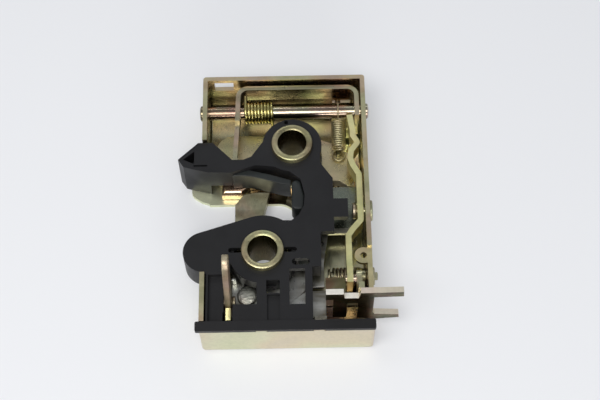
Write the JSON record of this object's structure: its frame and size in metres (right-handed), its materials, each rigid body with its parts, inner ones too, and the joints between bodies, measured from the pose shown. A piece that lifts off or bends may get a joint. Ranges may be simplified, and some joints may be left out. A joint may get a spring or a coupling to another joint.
{
  "type": "vehicle door latch actuator",
  "caption": "Vehicle door latch in a pressed steel case: fork and pawl round two tubular fixing bushes, with release bail, link, outside lever, lock lever and slide.",
  "frame": {"origin": "on the axis of the lower fixing bush, at the outer face of the base plate", "axes": "+X towards the wall that carries the outside lever, +Y towards the far wall with the cross shaft, +Z out of the open side of the case"},
  "size_m": [0.0704, 0.0906, 0.0358],
  "materials": {
    "zinc_steel": "yellow passivated zinc plating, satin",
    "zinc_plate": "yellow passivated zinc plating, satin",
    "black_plastic": "fine moulded, semi-matt",
    "bush_steel": "turned, satin",
    "buffer_rubber": "smooth moulded",
    "dark_steel": "ground and oiled",
    "spring_steel": "drawn wire",
    "bright_steel": "bright plated"
  },
  "bodies": {
    "case": {"housing": "zinc_steel", "back_plate": "zinc_plate", "carrier": "black_plastic", "lower_bush": "bush_steel", "upper_bush": "bush_steel", "mouth_liner": "buffer_rubber", "striker_buffer": "buffer_rubber", "cross_shaft": "bright_steel", "link_guide_rivet": "bright_steel", "outside_lever_pivot": "bright_steel", "lock_lever_pivot": "bright_steel", "slide_rivet": "bright_steel", "bail_spring": "spring_steel", "pawl_spring": "spring_steel", "outside_lever_spring": "spring_steel"},
    "fork": {"fork": "dark_steel", "fork_spring": "spring_steel"},
    "pawl": {"pawl": "zinc_plate", "pawl_spring_pin": "bright_steel"},
    "release_bail": {"release_bail": "zinc_plate"},
    "release_link": {"release_link": "zinc_plate"},
    "outside_lever": {"outside_lever": "zinc_plate", "link_pin": "bright_steel"},
    "lock_lever": {"lock_lever": "zinc_plate"},
    "lock_slide": {"lock_slide": "zinc_plate"}
  },
  "joints": [
    {"name": "fork_turn", "type": "hinge", "parent": "case", "child": "fork", "pos_m": [0, 0, 0.0038], "axis": [0, 0, -1], "range_deg": [0, 58], "stiffness_Nm_per_rad": 0.05, "springref_deg": -17.19},
    {"name": "outside_lever_turn", "type": "hinge", "parent": "case", "child": "outside_lever", "pos_m": [0.03, -0.004, 0.0049], "axis": [1, 0, 0], "range_deg": [0, 13], "stiffness_Nm_per_rad": 0.5, "springref_deg": -5.73},
    {"name": "link_slide", "type": "slide", "parent": "case", "child": "release_link", "axis": [0, -1, 0], "range_m": [0, 0.0021]},
    {"name": "pawl_turn", "type": "hinge", "parent": "case", "child": "pawl", "pos_m": [0.0098, 0.038, 0.0038], "axis": [0, 0, -1], "range_deg": [0, 5.5]},
    {"name": "bail_turn", "type": "hinge", "parent": "case", "child": "release_bail", "pos_m": [0.0115, 0.0534, 0.012], "axis": [-1, 0, 0], "range_deg": [0, 13]},
    {"name": "lock_lever_turn", "type": "hinge", "parent": "case", "child": "lock_lever", "pos_m": [-0.0109, -0.0155, 0.013], "axis": [-1, 0, 0], "range_deg": [0, 25]},
    {"name": "lock_slide_move", "type": "slide", "parent": "case", "child": "lock_slide", "axis": [0, -1, 0], "range_m": [0, 0.0018]}
  ],
  "couplings": [
    {"joint": "link_slide", "follows": "outside_lever_turn", "m_per_rad": 0.009255},
    {"joint": "pawl_turn", "follows": "outside_lever_turn", "ratio": 0.42308},
    {"joint": "bail_turn", "follows": "outside_lever_turn", "ratio": 1},
    {"joint": "lock_slide_move", "follows": "lock_lever_turn", "m_per_rad": 0.004125}
  ]
}
